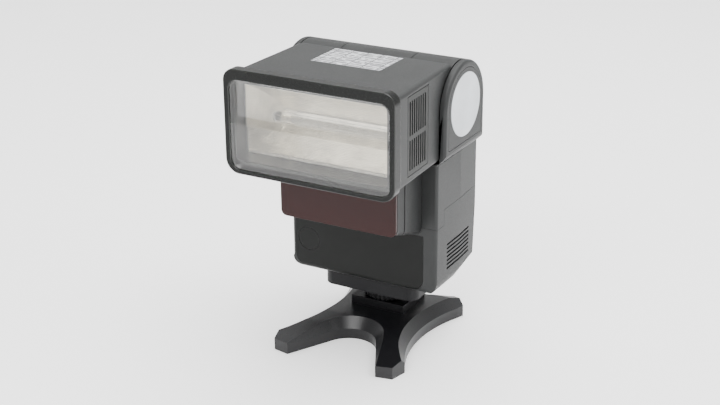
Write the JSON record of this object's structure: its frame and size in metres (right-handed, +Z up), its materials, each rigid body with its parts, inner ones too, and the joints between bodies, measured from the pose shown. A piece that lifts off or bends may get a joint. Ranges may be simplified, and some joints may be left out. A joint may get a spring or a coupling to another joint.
{
  "type": "speedlight flash",
  "caption": "Hot-shoe flash with a tilting, swivelling zoom head, AF-assist nose and battery body, slid into a small legged shoe stand.",
  "frame": {"origin": "mouth of the tripod socket in the middle of the stand's underside, on the table", "axes": "+Z up, the flash head faces -Y at rest, +X to the right seen from the front"},
  "size_m": [0.0762, 0.0852, 0.1259],
  "materials": {
    "stand_plastic": "satin black moulded plastic",
    "brass": "turned brass",
    "foot_plastic": "black moulded plastic",
    "wheel_plastic": "black knurled plastic",
    "steel": "zinc-plated steel",
    "dark_screws": "blackened steel",
    "shell_plastic": "finely grained dark grey plastic",
    "front_plastic": "smooth dark grey plastic",
    "sensor_parts": "small photo transistor",
    "inner_plastic": "plain moulded plastic",
    "cell_wrap": "printed foil on steel can",
    "circuit_board": "lacquered glass-fibre board",
    "capacitor_wrap": "shrink-wrapped aluminium can",
    "coil_copper": "taped winding on a ferrite core",
    "switch_grey": "grey moulded plastic",
    "button_orange": "glossy orange plastic",
    "lamp_red": "translucent red dome",
    "window_red": "dark red transparent plastic",
    "clear_plastic": "clear epoxy",
    "disc_grey": "pale grey satin disc",
    "grille_plastic": "dark grey plastic with slots",
    "label_silver": "silver foil label with a grey grid",
    "bezel_plastic": "satin black plastic",
    "lens_clear": "clear ribbed plastic lens",
    "gear_plastic": "acetal",
    "reflector_mirror": "bright anodised sheet",
    "tube_glass": "glass tube",
    "cap_rubber": "silicone"
  },
  "bodies": {
    "stand": {"stand_base": "stand_plastic", "tripod_bush": "brass"},
    "flash": {"hot_shoe_foot": "foot_plastic", "foot_screws": "steel", "foot_mount": "foot_plastic", "mount_screws": "steel", "lower_shell": "shell_plastic", "front_panel": "front_plastic", "sensor_window": "front_plastic", "sensor_cell": "sensor_parts", "upper_front_shell": "shell_plastic", "upper_rear_shell": "shell_plastic", "case_screws": "dark_screws", "door_hinge_pin": "steel", "battery_box": "inner_plastic", "battery_cells": "cell_wrap", "battery_springs": "steel", "main_board": "circuit_board", "control_board": "circuit_board", "flash_capacitor": "capacitor_wrap", "transformer": "coil_copper", "rear_panel": "front_plastic", "test_contact": "steel", "ready_lamp": "lamp_red", "nose_rear": "shell_plastic", "nose_frame": "shell_plastic", "af_window": "window_red", "af_lens": "window_red", "af_lamp": "clear_plastic"},
    "contacts": {"contact_pins": "brass"},
    "lock": {"lock_pin": "steel"},
    "wheel": {"locking_wheel": "wheel_plastic"},
    "door": {"battery_door": "shell_plastic", "door_contact": "steel"},
    "power_knob": {"power_switch": "switch_grey"},
    "mode_knob": {"mode_switch": "switch_grey"},
    "button": {"test_button": "button_orange"},
    "yoke": {"yoke_base": "shell_plastic", "swivel_ring": "steel", "ring_screws": "steel", "drum_centre": "shell_plastic", "cheek_left": "shell_plastic", "cheek_right": "shell_plastic", "cheek_covers": "shell_plastic", "cheek_discs": "disc_grey", "pivot_pins": "steel"},
    "head": {"head_hubs": "shell_plastic", "head_case": "shell_plastic", "head_grilles": "grille_plastic", "label_plate": "label_silver", "bezel": "bezel_plastic", "fresnel_lens": "lens_clear", "lamp_rails": "steel", "zoom_motor": "steel"},
    "carriage": {"reflector": "reflector_mirror", "flash_tube": "tube_glass", "tube_caps": "cap_rubber", "lamp_holder": "inner_plastic"},
    "pinion": {"zoom_pinion": "gear_plastic"}
  },
  "joints": [
    {"name": "shoe_slide", "type": "slide", "parent": "stand", "child": "flash", "axis": [0, 1, 0], "range_m": [0, 0.02]},
    {"name": "contact_press", "type": "slide", "parent": "flash", "child": "contacts", "axis": [0, 0, 1], "range_m": [0, 0.0006], "stiffness_N_per_m": 300},
    {"name": "wheel_turn", "type": "hinge", "parent": "flash", "child": "wheel", "pos_m": [0, 0, 0.015], "axis": [0, 0, 1], "range_deg": [0, 180]},
    {"name": "lock_drop", "type": "slide", "parent": "flash", "child": "lock", "axis": [0, 0, -1], "range_m": [0, 0.0012]},
    {"name": "door_hinge", "type": "hinge", "parent": "flash", "child": "door", "pos_m": [-0.0327, -0.003, 0.0343], "axis": [0, -1, 0], "range_deg": [0, 90]},
    {"name": "power_slide", "type": "slide", "parent": "flash", "child": "power_knob", "axis": [1, 0, 0], "range_m": [0, 0.006]},
    {"name": "mode_slide", "type": "slide", "parent": "flash", "child": "mode_knob", "axis": [1, 0, 0], "range_m": [0, 0.006]},
    {"name": "test_press", "type": "slide", "parent": "flash", "child": "button", "axis": [0, -1, 0], "range_m": [0, 0.0008], "stiffness_N_per_m": 300},
    {"name": "head_swivel", "type": "hinge", "parent": "flash", "child": "yoke", "pos_m": [0, -0.004, 0.083], "axis": [0, 0, 1], "range_deg": [-90, 180]},
    {"name": "head_tilt", "type": "hinge", "parent": "yoke", "child": "head", "pos_m": [0, -0.0067, 0.1058], "axis": [-1, 0, 0], "range_deg": [0, 90]},
    {"name": "zoom_slide", "type": "slide", "parent": "head", "child": "carriage", "axis": [0, 1, 0], "range_m": [0, 0.008]},
    {"name": "pinion_spin", "type": "hinge", "parent": "head", "child": "pinion", "pos_m": [0.0045, -0.0308, 0.117], "axis": [1, 0, 0], "range_deg": [-185, 0]}
  ],
  "couplings": [
    {"joint": "lock_drop", "follows": "wheel_turn", "m_per_rad": 0.00038197},
    {"joint": "pinion_spin", "follows": "zoom_slide", "rad_per_m": -400}
  ]
}
